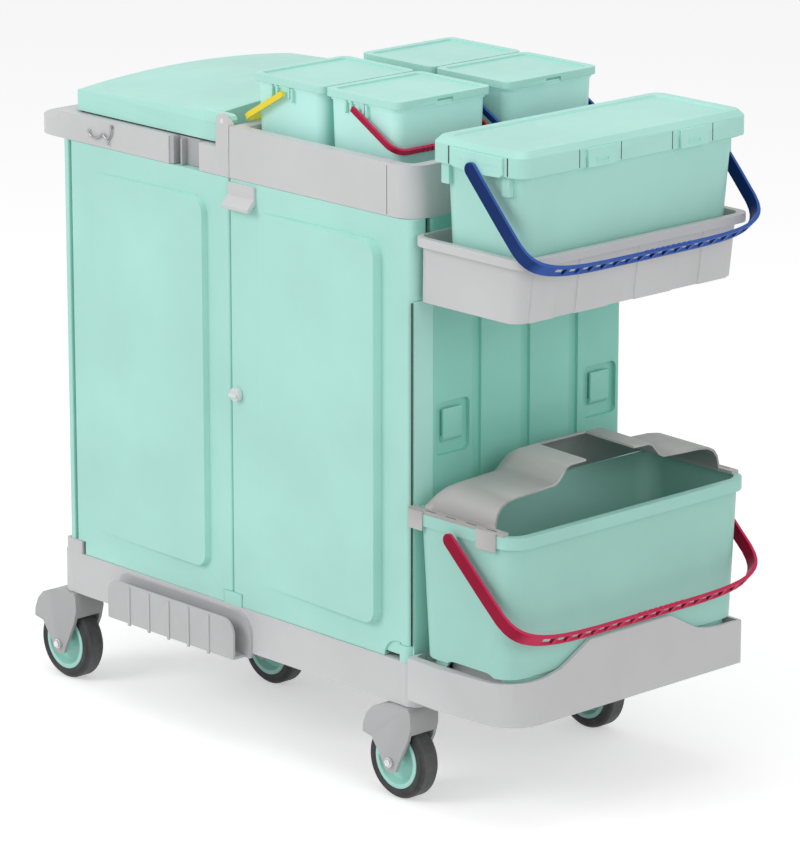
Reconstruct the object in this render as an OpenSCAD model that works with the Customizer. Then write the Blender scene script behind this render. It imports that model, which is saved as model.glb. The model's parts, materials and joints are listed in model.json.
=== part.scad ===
// Janitor cart: cabinet with two doors, top tray with four small buckets,
// two large buckets at one end, dome lid over the bag bay, five casters.
// Millimetres, +Z up, floor at z = 0, bucket end toward +X, doors toward -Y.

/* [Casters] */
// Diameter of the caster wheels
wheel_d = 125; // [110:1:128]
// Width of the tyre
tyre_w = 38; // [30:1:40]
// Diameter of the wheel hub
hub_d = 92; // [70:1:96]
// Distance from the swivel axis back to the wheel axle
trail = 26; // [20:1:30]
// Height from the floor to the underside of the base
caster_h = 159; // [158:1:175]
// Width of the caster fork
fork_w = 60; // [56:1:66]

/* [Base] */
// Height of the base deck
base_h = 70.5; // [60:0.5:90]
// Half width of the base deck
base_hw = 250; // [248:1:256]
// Wall of the base moulding
base_wall = 5; // [3:0.5:8]
// Radius of the round corner posts
post_r = 24; // [20:1:28]
// Length of the bucket platform beyond the cabinet
plat_len = 231; // [225:1:250]
// Half width of the bucket platform
plat_hw = 264; // [258:1:268]
// Height of the lip hump at the platform end
lip_rise = 59; // [40:1:62]

/* [Cabinet] */
// X position of the bucket end of the cabinet
cab_end = 323; // [318:1:328]
// Length of the cabinet
cab_len = 829; // [815:1:850]
// Length of the bag bay, from the push end to the door split
bay_len = 411; // [400:1:422]
// Height of the doors
door_h = 699.5; // [660:0.5:740]
// Half width of the cabinet to the face of the doors
cab_hw = 247; // [240:1:248]
// Depth of the doors
door_depth = 34; // [28:1:36]
// Wall of the moulded doors and panels
skin = 4; // [3:0.5:5]
// Rise of the raised door fields at their high end
field_rise = 10; // [6:0.5:11]
// Thickness of the end panels
panel_t = 12.5; // [10:0.5:13]

/* [Top] */
// Height of the top rail
rail_h = 45; // [38:1:50]
// Reach of the push handle beyond the cabinet
handle_reach = 86; // [76:1:92]
// Height of the top tray
tray_h = 82; // [70:1:90]
// Width of the tray rim
tray_rim = 20; // [14:1:22]
// Height of the dome lid at its low end
dome_h = 32; // [26:1:36]
// Rise of the dome lid arch across the cart
dome_arch = 14; // [8:1:20]
// Wall of the dome lid
dome_wall = 4; // [3:0.5:5]

/* [Small buckets] */
// Length of a small bucket lid along the cart
small_len = 166; // [156:1:167]
// Width of a small bucket lid across the cart
small_w = 200; // [190:1:202]
// Height of a small bucket
small_h = 150; // [130:1:160]
// Spacing of the small buckets along the cart
small_pitch_x = 170; // [168:1:174]
// Spacing of the small buckets across the cart
small_pitch_y = 232; // [228:1:234]
// Wall of the small buckets
small_wall = 3; // [2:0.5:4]
// Length of a small bail from its pivot to its grip
small_arm = 106; // [102:1:110]

/* [Large buckets] */
// Height of the rim of the bucket holder above the floor
holder_rim = 907; // [890:1:915]
// Depth of the bucket holder
holder_deep = 102; // [90:1:110]
// Height of the upper bucket
upper_h = 238; // [228:1:248]
// Length of the upper bail from its pivot to its grip
upper_arm = 198; // [194:1:206]
// Height of the lower bucket
lower_h = 252; // [240:1:260]
// Length of the lower bail from its pivot to its grip
lower_arm = 210; // [204:1:218]
// Wall of the large buckets
big_wall = 4; // [3:0.5:5]
// Height of the splash hood above the bucket rim
hood_h = 80; // [70:1:84]
// Wall of the splash hood
hood_wall = 3; // [2.5:0.5:4]

/* [Hidden] */
corner_steps = 6;
fit = 0.05;
eps = 1;
fine = 48;
mint = [0.70, 0.89, 0.85];
grey = [0.78, 0.78, 0.78];
dark = [0.20, 0.20, 0.20];
steel = [0.75, 0.75, 0.78];

// Casters
wheel_r = wheel_d / 2;
hub_r = hub_d / 2;
stem_r = 5.5;
stem_up = 26;
collar_r = 12;
collar_t = 0.7;
fork_top = caster_h - 1;
fork_gap = 4;
cheek_in = tyre_w / 2 + 5;
axle_r = 4;
axle_head_r = 8;
axle_head_t = 4;
hub_web = 8;
hub_boss_r = 11;
hub_rim_t = 7;
tyre_edge = 5;

// Base
deck_z = caster_h + base_h;
deck_t = 8;
cab_x0 = cab_end - cab_len;
base_x0 = cab_x0 - 10;
base_x1 = cab_end + 6;
base_round = 12;
swivel_y = base_hw - post_r + 1;
swivel_x1 = cab_end - 11;
swivel_x0 = cab_x0 + 3;
swivel_xm = swivel_x0 + 256;
boss_r = 30;
rib_t = 5;
rib_y = 120;
swivel_back = 38;
swivels = [[swivel_x1, -swivel_y], [swivel_x1 - swivel_back, swivel_y], [swivel_x0, -swivel_y],
    [swivel_x0, swivel_y], [swivel_xm, 0]];
plat_x1 = cab_end + plat_len;
plat_z0 = deck_z - 53.5;
plat_wall = 7;
plat_floor_t = 8;
plat_side = 14;
plat_round = 62;
plat_far_r = 10;
plat_bow_x = cab_end + 75;
plat_nose_hw = plat_hw - 8;
lip_end = 18;

// Cabinet
split_x = cab_x0 + bay_len;
door_top = deck_z + door_h;
back_y = cab_hw - 40;
back_t = 10;
front_y = -cab_hw;
door_gap = 1;
door_back = front_y + door_depth;
door_under = 0.5;
left_round = 9;
right_round = 12;
left_gap = 3;
left_pin = [cab_x0 + panel_t + left_gap + left_round, front_y + left_round];
right_pin = [cab_end - 1 - right_round, front_y + right_round];
pin_r = 4;
pin_up = 14;
foot_h = 26;
foot_w = 24;
foot_y0 = front_y - 3;
foot_y1 = door_back + 13;
foot_gap = 0.5;
notch_w = 36;
notch_h = 30;
stop_w = 43;
stop_h = 21;
stop_x = split_x - 20;
left_foot_w = 42;
left_foot_h = 22;
panel_y0 = door_back + 8;
post_t = 1.5;
post_y0 = front_y + 5;
post_y1 = panel_y0 + 2;
groove_w = 20;
groove_d = 6;
groove_y = 105;
groove_mid = -4;
groove_z0 = deck_z + 30;
hook_w = 72;
hook_z0 = deck_z + 322;
hook_z1 = hook_z0 + 84;
hook_y = 160;
hook_d = 8;
tongue_w = 40;
tongue_t = 4;
tongue_z0 = hook_z0 + 18;
tongue_z1 = hook_z1 - 12;
field_round = 24;
field_slope = 2.5;
field_top_r = 22;
field_low = 0.6;
right_rise = 1.5 * field_rise;
end_rise = 4;

// Lock knob and pull
knob_x = split_x + 18;
knob_z = 582;
knob_r = 11;
knob_out = 9;
knob_stem_r = 5;
knob_tail = 26;
pull_x0 = split_x + 2;
pull_w = 62;
pull_top = door_top - 5;
pull_h = 40;
pull_t = 5;
pull_lip = 13;
pull_lip_h = 16;

// Top
rail_top = door_top + rail_h;
rail_x0 = cab_x0 - handle_reach;
rail_round = 58;
bar_w = 28;
bar_drop = 16;
bar_x1 = cab_x0 - 8;
slot_x1 = cab_x0 - 2;
slot_hw = 178;
bay_x0 = cab_x0 + 34;
bay_x1 = split_x - 56;
bay_hw = 205;
bay_round = 24;
ear_x0 = split_x - 31;
ear_t = 12;
ear_h = 54;
lid_pin_x = split_x - 16;
lid_pin_z = rail_top + 43;
lid_pin_r = 4;
lid_pin_in = 16;
lug_t = 13;
dome_x0 = cab_x0 + 9;
dome_x1 = split_x - 44;
dome_hw = cab_hw - 15;
frame_t = 3;
frame_in = 3;
dome_z0 = rail_top + frame_t;
dome_slope = 15;
dome_round = 20;
frame_w = 14;
clip_x0 = split_x - 145;
clip_w = 74;
clip_d = 20;
clip_back = 4;
clip_rib = 9;
wire_r = 1.8;
wire_y = front_y - 4;
wire_x = split_x - 283;
wire_z = rail_top - 4;
tray_top = door_top + tray_h;
tray_x0 = split_x;
tray_x1 = cab_end;
tray_floor = 8;
tray_round = 38;
tray_skin = 4;
tray_in_r = 14;

// Small buckets
small_cx = (tray_x0 + tray_x1) / 2 - 23;
small_z0 = door_top + tray_floor;
small_top = small_z0 + small_h;
small_r = 18;
small_lid_r = 14;
small_rim = 2;
small_lid_t = 12;
small_lid_skirt = 2.5;
small_taper_x = 6;
small_taper_y = 8;
small_pivot_z = small_top - 16;
small_peg_r = 4;
small_bail_t = 5;
small_bail_w = 9;
small_drop = asin((small_pivot_z - tray_top - 7.5) / small_arm);
small_bail_in = small_w / 2 + 1.5;
small_grip_r = 26;
small_seat = 3;
small_pivot_x = -8;

// Bucket holder
holder_x0 = cab_end;
holder_x1 = plat_x1 + 8;
holder_hw = cab_hw + 1;
holder_z0 = holder_rim - holder_deep;
holder_in_x = 13;
holder_in_y = 1;
holder_wall = 4;
holder_lip = 10;
holder_lip_h = 14;
holder_r = 24;
holder_pads = [[-214, -160], [-118, -45], [8, 92], [148, 214]];
holder_pad_d = 3;

// Upper bucket
upper_z0 = holder_z0 + holder_wall;
upper_top = upper_z0 + upper_h;
upper_x0 = cab_end + 36;
upper_x1 = holder_x1 - 6;
upper_hw = holder_hw - 3;
upper_r = 30;
upper_lid_r = 22;
upper_lid_t = 21;
upper_skirt = 18;
peg_room = 8;
upper_pivot = [upper_x1 - 99, upper_top - 16];
upper_grip = 0.84;
upper_bail_in = upper_hw + 5;
upper_drop = 47;
peg_r = 6;
bail_t = 5;
bail_w = 22;
bail_bow = 100;
bail_seat = 3;
bail_power = 5;
bail_steps = 12;
bail_windows = 16;
bail_open = 0.76;
bail_edge = 3.5;
upper_tab_w = 60;
upper_tab_h = 30;
upper_tab_y = [-80, 118];

// Lower bucket
lower_z0 = deck_z;
lower_top = lower_z0 + lower_h;
lower_x0 = cab_end + 2;
lower_x1 = plat_x1 + 7;
lower_hw = plat_hw - 4;
lower_rim_h = 19;
lower_r = 38;
lower_pivot = [lower_x1 - 128, lower_top - 24];
lower_grip = 0.84;
lower_bail_in = lower_hw + 9;
lower_drop = 42;
lower_foot_h = 33;
arch_w = 124;
arch_h = 29;
arch_r = 27;
arch_x = lower_x0 + 136;

// Splash hood
hood_x0 = lower_x0 + 4;
hood_xr = lower_x1 - 163;
hood_x1 = lower_x1 - 56;
hood_z0 = lower_top;
hood_hw = lower_hw - 2;
hood_gap = 52;
hood_step = 0.62;
hood_back = [[12, 0.05], [24, 0.42], [36, 0.7], [48, 0.87], [60, 0.96]];
hood_clips = [[hood_x0 + 4, 30], [lower_x1 - 80, 42]];
hood_ledge = 15;
clip_tab_h = 26;
clip_out = 2.4;

// One quarter of a rounded outline
function quarter(cx, cy, r, a) =
    [for (i = [0:corner_steps]) [cx + r * cos(a + 90 * i / corner_steps),
        cy + r * sin(a + 90 * i / corner_steps)]];

// Rounded rectangle with one radius per corner: x1y1, x0y1, x0y0, x1y0
function rrect4(x0, x1, y0, y1, r) = concat(
    quarter(x1 - r[0], y1 - r[0], r[0], 0),
    quarter(x0 + r[1], y1 - r[1], r[1], 90),
    quarter(x0 + r[2], y0 + r[2], r[2], 180),
    quarter(x1 - r[3], y0 + r[3], r[3], 270));

// Rounded rectangle
function rrect(x0, x1, y0, y1, r) = rrect4(x0, x1, y0, y1, [r, r, r, r]);

// Ring at a height, centred on y
function ring(x0, x1, hw, r, z) = [for (p = rrect(x0, x1, -hw, hw, r)) [p[0], p[1], z]];

// Solid through a list of rings with the same number of points
module loft(rings) {
    n = len(rings[0]);
    m = len(rings);
    pts = [for (r = rings) for (p = r) p];
    side_a = [for (i = [0:m - 2]) for (j = [0:n - 1])
        [i * n + j, (i + 1) * n + j, (i + 1) * n + (j + 1) % n]];
    side_b = [for (i = [0:m - 2]) for (j = [0:n - 1])
        [i * n + j, (i + 1) * n + (j + 1) % n, i * n + (j + 1) % n]];
    low = [for (j = [0:n - 1]) j];
    high = [for (j = [0:n - 1]) m * n - 1 - j];
    polyhedron(points = pts, faces = concat(side_a, side_b, [low, high]));
}

// Upright prism over an outline
module slab(outline, z0, z1) {
    translate([0, 0, z0])
        linear_extrude(height = z1 - z0)
            polygon(outline);
}

// Prism over an outline drawn in x and z, between two y values
module side_slab(outline, y0, y1) {
    translate([0, y1, 0])
        rotate([90, 0, 0])
            linear_extrude(height = y1 - y0)
                polygon(outline);
}

// Prism over an outline drawn in y and z, between two x values
module end_slab(outline, x0, x1) {
    translate([x0, 0, 0])
        rotate([90, 0, 90])
            linear_extrude(height = x1 - x0)
                polygon(outline);
}

// Box between two corners
module box(a, b) {
    translate(a)
        cube(b - a);
}

// Upright cylinder
module rod_z(p, r, z0, z1) {
    translate([p[0], p[1], z0])
        cylinder(r = r, h = z1 - z0, $fn = fine);
}

// Cylinder along y
module rod_y(x, z, r, y0, y1) {
    translate([x, y1, z])
        rotate([90, 0, 0])
            cylinder(r = r, h = y1 - y0, $fn = fine);
}

// Base moulding with corner posts and caster sockets
module base_deck() {
    color(grey)
    difference() {
        union() {
            difference() {
                slab(rrect(base_x0, base_x1, -base_hw, base_hw, base_round), caster_h, deck_z);
                slab(rrect(base_x0 + base_wall, base_x1 - base_wall, -base_hw + base_wall,
                    base_hw - base_wall, base_round - base_wall / 2), caster_h - eps, deck_z - deck_t);
            }
            for (i = [0:3])
                rod_z(swivels[i], post_r, caster_h, deck_z);
            rod_z(swivels[4], boss_r, caster_h, deck_z - deck_t / 2);
            for (s = [-1, 1])
                box([base_x0 + base_wall / 2, s * rib_y - rib_t / 2, caster_h + rib_t],
                    [base_x1 - base_wall / 2, s * rib_y + rib_t / 2, deck_z - deck_t / 2]);
            box([swivel_xm - rib_t / 2, -rib_y, caster_h + rib_t],
                [swivel_xm + rib_t / 2, rib_y, deck_z - deck_t / 2]);
        }
        for (p = swivels)
            rod_z(p, stem_r + fit, caster_h - eps, caster_h + stem_up);
    }
}

// Platform under the lower bucket, with the raised end lip
module bucket_platform() {
    side_z = deck_z + plat_side;
    end_z = deck_z + lip_end;
    top_z = deck_z + lip_rise;
    outer = concat(
        quarter(plat_x1 - plat_far_r, plat_nose_hw - plat_far_r, plat_far_r, 0),
        [[plat_bow_x, plat_hw], [base_x1, plat_hw - 4], [base_x1, -plat_hw + 4], [plat_bow_x, -plat_hw]],
        quarter(plat_x1 - plat_round, -plat_nose_hw + plat_round, plat_round, 270));
    inner = rrect4(base_x1 + plat_wall, plat_x1 - plat_wall, -plat_nose_hw + plat_wall,
        plat_nose_hw - plat_wall, [plat_far_r - plat_wall, 6, 6, plat_round - plat_wall]);
    half = [[88, top_z], [96, top_z - 4], [110, top_z - 12], [130, top_z - 23], [150, top_z - 33],
        [178, end_z + 2], [200, end_z], [plat_nose_hw - 20, end_z - 1], [plat_hw + eps, side_z]];
    other = [for (i = [0:len(half) - 1]) [-half[i][0], half[i][1]]];
    low = plat_z0 - eps;
    profile = concat([[plat_hw + eps, low]], [for (i = [len(half) - 1:-1:0]) half[i]], other,
        [[-plat_hw - eps, low]]);
    color(grey)
    difference() {
        intersection() {
            slab(outer, plat_z0, top_z + eps);
            end_slab(profile, base_x1 - eps, plat_x1 + eps);
        }
        slab(inner, deck_z, top_z + 2 * eps);
        slab(inner, plat_z0 - eps, deck_z - plat_floor_t);
        for (i = [0:1])
            rod_z(swivels[i], post_r + fit, plat_z0 - eps, top_z);
    }
}

// Stems that carry the caster forks
module caster_stems() {
    color(steel)
    for (p = swivels) {
        union() {
            rod_z(p, stem_r, fork_top - 28, caster_h + stem_up - 0.5);
            rod_z(p, collar_r, caster_h - collar_t, caster_h);
        }
    }
}

// Fork outline around the wheel centre, x forward and z up from the floor
function fork_outline() = [[-63, 98], [-62, 112], [-54, 131], [-40, 145], [-20, fork_top - 5], [0,
    fork_top],
    [40, fork_top], [45, fork_top - 7], [46, 128], [40, 106], [17, 60], [12, 48], [0, 44], [-12, 48],
    [-19, 62], [-42, 94]];

module caster_fork(i) {
    p = swivels[i];
    wx = p[0] - trail;
    color(grey)
    translate([wx, p[1], 0])
    difference() {
        side_slab(fork_outline(), -fork_w / 2, fork_w / 2);
        rod_y(0, wheel_r, wheel_r + fork_gap, -cheek_in, cheek_in);
        box([-wheel_d, -cheek_in, -eps], [wheel_d, cheek_in, wheel_r]);
        rod_z([trail, 0], stem_r + fit, wheel_r, caster_h);
        rod_y(0, wheel_r, axle_r + fit, -fork_w, fork_w);
    }
}

module caster_axle(i) {
    p = swivels[i];
    color(steel)
    translate([p[0] - trail, p[1], 0])
    union() {
        rod_y(0, wheel_r, axle_r, -fork_w / 2 - 1, fork_w / 2 + 1);
        rod_y(0, wheel_r, axle_head_r, -fork_w / 2 - axle_head_t, -fork_w / 2);
        rod_y(0, wheel_r, axle_head_r, fork_w / 2, fork_w / 2 + axle_head_t);
    }
}

module wheel_hub(i) {
    p = swivels[i];
    half = tyre_w / 2 - 1;
    web = hub_web / 2;
    bore = axle_r + fit;
    inner = hub_r - hub_rim_t;
    color(mint)
    translate([p[0] - trail, p[1], wheel_r])
    rotate([90, 0, 0])
    rotate_extrude($fn = fine)
        polygon([[bore, -half - 3], [hub_boss_r, -half - 3], [hub_boss_r + 3, -web - 4], [inner - 4, -web],
            [inner, -half], [hub_r, -half], [hub_r, half], [inner, half], [inner - 4, web],
            [hub_boss_r + 3, web + 4], [hub_boss_r, half + 3], [bore, half + 3]]);
}

module tyre(i) {
    p = swivels[i];
    half = tyre_w / 2;
    color(dark)
    translate([p[0] - trail, p[1], wheel_r])
    rotate([90, 0, 0])
    rotate_extrude($fn = fine)
        polygon([[hub_r, -half + 2], [wheel_r - 9, -half], [wheel_r - tyre_edge, -half + 1],
            [wheel_r, -half + tyre_edge + 2], [wheel_r, half - tyre_edge - 2], [wheel_r - tyre_edge,
                half - 1],
            [wheel_r - 9, half], [hub_r, half - 2]]);
}

// Ribbed pocket for a mop head on the front of the base
module mop_pocket() {
    x0 = split_x - 276;
    x1 = split_x + 37;
    back_x1 = split_x + 50;
    front = -base_hw - 29;
    z0 = caster_h - 8;
    z1 = caster_h + 58;
    top = deck_z - 5;
    color(grey)
    union() {
        side_slab(rrect4(x0, back_x1, z0, top, [34, 20, 2, 2]), -base_hw - 5, -base_hw);
        side_slab(rrect4(x0, x1, z0, z1, [26, 22, 2, 2]), front, front + 4);
        box([x0, front + 1, z0], [x1, -base_hw - 1, z0 + 4]);
        box([x0, front + 1, z0], [x0 + 4, -base_hw - 1, z1 - 24]);
        for (k = [0:4])
            box([x0 + 52 + k * 49.5, front - 2, z0 - 3], [x0 + 57 + k * 49.5, front + 1, z1 - 3]);
    }
}

// Foot under the bucket-end door hinge with its post strip, and door stop at the split
module door_feet() {
    color(mint)
    union() {
        slab(rrect4(cab_end - foot_w, cab_end, foot_y0, foot_y1, [4, 4, 3, 14]), deck_z, deck_z + foot_h);
        slab(rrect(stop_x, stop_x + stop_w, foot_y0, door_back + 18, 4), deck_z, deck_z + stop_h);
        box([cab_end - 1, post_y0, deck_z], [cab_end + post_t, foot_y1 - 2, deck_z + foot_h - 2]);
        box([cab_end + 0.3, post_y0, deck_z], [cab_end + post_t, post_y1, holder_z0 - 2]);
    }
}

// Foot under the push-end door hinge
module left_hinge_foot() {
    x0 = cab_x0 - 9;
    y1 = left_pin[1] + left_round;
    color(grey)
    difference() {
        slab(rrect4(x0, x0 + left_foot_w, foot_y0, y1, [4, 4, 8, 3]), deck_z, deck_z + left_foot_h);
        slab([[cab_x0, front_y], [cab_x0 + panel_t, front_y], [cab_x0 + panel_t, 0], [cab_x0, 0]],
            deck_z - eps, deck_z + left_foot_h + eps);
    }
}

// Pins on which the doors and the dome lid turn
module hinge_pins() {
    pin_mid = cab_hw - (ear_t + lid_pin_in) / 2;
    pin_half = (ear_t + lid_pin_in) / 2;
    color(steel) {
        for (s = [-1, 1])
            rod_y(lid_pin_x, lid_pin_z, lid_pin_r, s * pin_mid - pin_half, s * pin_mid + pin_half);
        rod_z(left_pin, pin_r, deck_z + left_foot_h, deck_z + left_foot_h + pin_up);
        rod_z(left_pin, pin_r, door_top - pin_up, door_top);
        rod_z(right_pin, pin_r, deck_z + foot_h, deck_z + foot_h + pin_up);
        rod_z(right_pin, pin_r, door_top - pin_up, door_top);
    }
}

// Panel at the push end
module left_end_panel() {
    color(mint)
    union() {
        slab(rrect4(cab_x0, cab_x0 + panel_t, front_y, back_y, [2, 4, 6, 2]), deck_z, door_top);
        box([cab_x0 - end_rise, -150, deck_z + 70], [cab_x0 + 1, 130, door_top - 70]);
    }
}

// Panel across the back
module back_panel() {
    color(mint)
    union() {
        box([cab_x0 + panel_t, back_y - back_t, deck_z], [cab_end - panel_t, back_y, door_top]);
        raised_field([cab_x0 + 60, split_x - 40, deck_z + 40, door_top - 45], back_y, 1, end_rise,
            end_rise);
        raised_field([split_x + 40, cab_end - 60, deck_z + 40, door_top - 45], back_y, 1, end_rise,
            end_rise);
    }
}

// Wall between the bag bay and the shelf bay
module divider_panel() {
    color(mint)
        box([split_x - panel_t / 2, door_back + 22, deck_z], [split_x + panel_t / 2, back_y - back_t,
            door_top]);
}

// Panel at the bucket end, with grooves and two hook tongues set in recesses
module end_panel() {
    back_x = cab_end - hook_d;
    in_x = cab_end - tongue_t;
    tongue = [[back_x - 1, tongue_z0], [cab_end - 3, tongue_z0 + 3], [cab_end, tongue_z0 + 9], [cab_end,
        tongue_z1 - 3],
        [cab_end - 1, tongue_z1], [in_x, tongue_z1], [in_x, tongue_z0 + 13], [back_x - 1, tongue_z0 + 9]];
    color(mint)
    union() {
        difference() {
            slab(rrect4(cab_end - panel_t, cab_end, panel_y0, back_y, [8, 2, 2, 4]), deck_z, door_top);
            for (y = [groove_mid - groove_y, groove_mid, groove_mid + groove_y])
                box([cab_end - groove_d, y - groove_w / 2, groove_z0], [cab_end + eps, y + groove_w / 2,
                    holder_z0]);
            for (s = [-1, 1])
                end_slab(rrect(s * hook_y - hook_w / 2, s * hook_y + hook_w / 2, hook_z0, hook_z1, 10),
                    back_x, cab_end + eps);
            box([cab_end - panel_t - eps, panel_y0 - eps, deck_z - eps],
                [cab_end + eps, foot_y1, deck_z + foot_h]);
        }
        for (s = [-1, 1])
            side_slab(tongue, s * hook_y - tongue_w / 2, s * hook_y + tongue_w / 2);
    }
}

// Rail around the bag bay with the push handle and the lid ears
module top_rail() {
    ear = concat([[ear_x0, rail_top - eps]], [[ear_x0 + 3, rail_top + ear_h - 6], [ear_x0 + 9,
        rail_top + ear_h],
        [ear_x0 + 16, rail_top + ear_h - 2], [split_x, tray_top + 2], [split_x, rail_top - eps]]);
    color(grey)
    difference() {
        union() {
            difference() {
                slab(rrect4(rail_x0, split_x, front_y, cab_hw, [4, rail_round, rail_round, 4]), door_top,
                    rail_top);
                slab(rrect(rail_x0 + bar_w, slot_x1, -slot_hw, slot_hw, 9), door_top - eps, rail_top + eps);
                slab(rrect(bay_x0, bay_x1, -bay_hw, bay_hw, bay_round), door_top - eps, rail_top + eps);
            }
            for (s = [-1, 1])
                side_slab(ear, s * (cab_hw - ear_t / 2) - ear_t / 2, s * (cab_hw - ear_t / 2) + ear_t / 2);
            box([ear_x0 + 18, front_y + 1, rail_top - eps], [split_x, cab_hw - 1, rail_top + 20]);
        }
        box([clip_x0, front_y - eps, door_top - eps], [clip_x0 + clip_w, front_y + clip_d, rail_top + eps]);
        box([rail_x0 - eps, front_y - eps, rail_top - bar_drop], [bar_x1, cab_hw + eps, rail_top + eps]);
        rod_y(lid_pin_x, lid_pin_z, lid_pin_r + fit, -cab_hw - eps, -cab_hw + ear_t + eps);
        rod_y(lid_pin_x, lid_pin_z, lid_pin_r + fit, cab_hw - ear_t - eps, cab_hw + eps);
    }
}

// Ring on the rail that holds the bag and carries the lid
module bag_frame() {
    x0 = dome_x0 + frame_in;
    x1 = dome_x1 - frame_in;
    hw = dome_hw - frame_in;
    color(dark)
    difference() {
        slab(rrect(x0, x1, -hw, hw, dome_round), rail_top, rail_top + frame_t);
        slab(rrect(x0 + frame_w, x1 - frame_w, -hw + frame_w, hw - frame_w, dome_round - 6), rail_top - eps,
            rail_top + frame_t + eps);
    }
}

// Ribbed clip for a broom handle, set into the rail
module rail_clip() {
    y1 = front_y + clip_d;
    color([0.55, 0.55, 0.55])
    union() {
        box([clip_x0, y1 - clip_back, door_top], [clip_x0 + clip_w, y1, rail_top]);
        slab([[clip_x0, front_y + 2], [clip_x0 + clip_rib, front_y + 3], [clip_x0 + clip_rib, y1 - 1],
            [clip_x0, y1 - 1]], door_top, rail_top);
        box([clip_x0 + 22, front_y + 6, door_top], [clip_x0 + 26, y1 - 1, rail_top - 2]);
        slab([[clip_x0 + clip_w, front_y + 2], [clip_x0 + clip_w, y1 - 1], [clip_x0 + clip_w - 20, y1 - 1]],
            door_top, rail_top);
    }
}

// Direction across a path in the x-z plane at one of its points, long enough for a mitre
function across(path, i) =
    let (a = path[max(i - 1, 0)], b = path[i], c = path[min(i + 1, len(path) - 1)],
        u = b == a ? (c - b) / norm(c - b) : (b - a) / norm(b - a),
        v = c == b ? u : (c - b) / norm(c - b),
        m = (u + v) / norm(u + v))
    [-m[1], m[0]] / (m * u);

// Round wire along a path in the x-z plane at one y
module wire(path, y, r) {
    loft([for (i = [0:len(path) - 1]) let (n = across(path, i))
        [for (k = [0:9]) [path[i][0] + n[0] * r * cos(36 * k), y - r * sin(36 * k),
            path[i][1] + n[1] * r * cos(36 * k)]]]);
}

// Bent wire hook on the rail
module wire_hook() {
    path = [[0, 0], [-1, -8], [-3, -17], [-7, -22], [-12, -24], [-17, -21], [-22, -18], [-29, -22], [-37,
        -26],
        [-45, -27], [-52, -25], [-56, -21], [-58, -15]];
    tail = [[-11, -22], [-10, -28], [-8, -34]];
    moved = [for (p = path) [wire_x + p[0], wire_z + p[1]]];
    moved_tail = [for (p = tail) [wire_x + p[0], wire_z + p[1]]];
    color([0.35, 0.35, 0.35])
    union() {
        wire(moved, wire_y, wire_r);
        wire(moved_tail, wire_y, 0.9 * wire_r);
        rod_y(wire_x - 1, wire_z - 4, 1.5 * wire_r, wire_y, front_y);
    }
}

// Tray with a folded rim
module top_tray() {
    x0 = tray_x0;
    x1 = tray_x1;
    o = tray_rim;
    s = tray_skin;
    color(grey)
    difference() {
        slab(rrect4(x0, x1, front_y, cab_hw, [tray_round, 3, 3, tray_round]), door_top, tray_top);
        slab(rrect(x0 + o, x1 - o, front_y + o, cab_hw - o, tray_in_r), door_top + tray_floor,
            tray_top + eps);
        difference() {
            slab(rrect4(x0 + s, x1 - s, front_y + s, cab_hw - s, [tray_round - s, 2, 2, tray_round - s]),
                door_top + tray_floor, tray_top - s);
            slab(rrect(x0 + o - s, x1 - o + s, front_y + o - s, cab_hw - o + s, tray_in_r + s),
                door_top, tray_top);
        }
    }
}

// Section of a raised pad on the end of the bin
function pad_ring(x, p, z) = [[x - 2, p[0], z], [x + holder_pad_d, p[0] + 2, z], [x + holder_pad_d,
    p[1] - 2, z],
    [x - 2, p[1], z]];

// Bin that carries the upper bucket
module bucket_holder() {
    x0 = holder_x0;
    xa = holder_x1 - holder_lip;
    xb = xa - holder_in_x;
    ha = holder_hw - holder_lip;
    hb = ha - holder_in_y;
    w = holder_wall;
    mid_z = holder_rim - holder_lip_h;
    color(grey)
    union() {
        loft([ring(x0, xb, hb, holder_r, holder_z0), ring(x0, xa - 2, ha - 2, holder_r, mid_z - 4),
            ring(x0, holder_x1, holder_hw, holder_r, mid_z), ring(x0, holder_x1, holder_hw, holder_r,
                holder_rim),
            ring(x0 + w, xa - w + 2, ha - w + 2, holder_r - w, holder_rim),
            ring(x0 + w, xb - w, hb - w, holder_r - w, holder_z0 + w)]);
        for (p = holder_pads)
            loft([pad_ring(xb, p, holder_z0), pad_ring(xa - 2, p, mid_z + 1)]);
    }
}

// Outline in x and z at one y, in the order that a loft toward side s needs
function side_ring(x0, x1, z0, z1, r, y, s) = let (o = rrect(x0, x1, z0, z1, r), n = len(o))
    [for (i = [0:n - 1]) let (p = o[s < 0 ? i : n - 1 - i]) [p[0], y, p[1]]];

// Raised field on a face toward side s of y, rising from low to high along the cart: x0, x1, z0, z1
module raised_field(f, y, s, low, high) {
    d = field_slope;
    top = side_ring(f[0] + d, f[1] - d, f[2] + d, f[3] - d, field_top_r, y, s);
    loft([side_ring(f[0], f[1], f[2], f[3], field_round, y - s, s),
        side_ring(f[0], f[1], f[2], f[3], field_round, y, s),
        [for (p = top) [p[0], y + s * (low + (high - low) * (p[0] - f[0]) / (f[1] - f[0])), p[2]]]]);
}

// Door pan: skin, flange and raised field
module door_pan(outline, inner, field, rise, z0, z1) {
    union() {
        difference() {
            slab(outline, z0, z1);
            slab(inner, z0 + skin, z1 - skin);
        }
        raised_field(field, front_y, -1, field_low, rise);
    }
}

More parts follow.
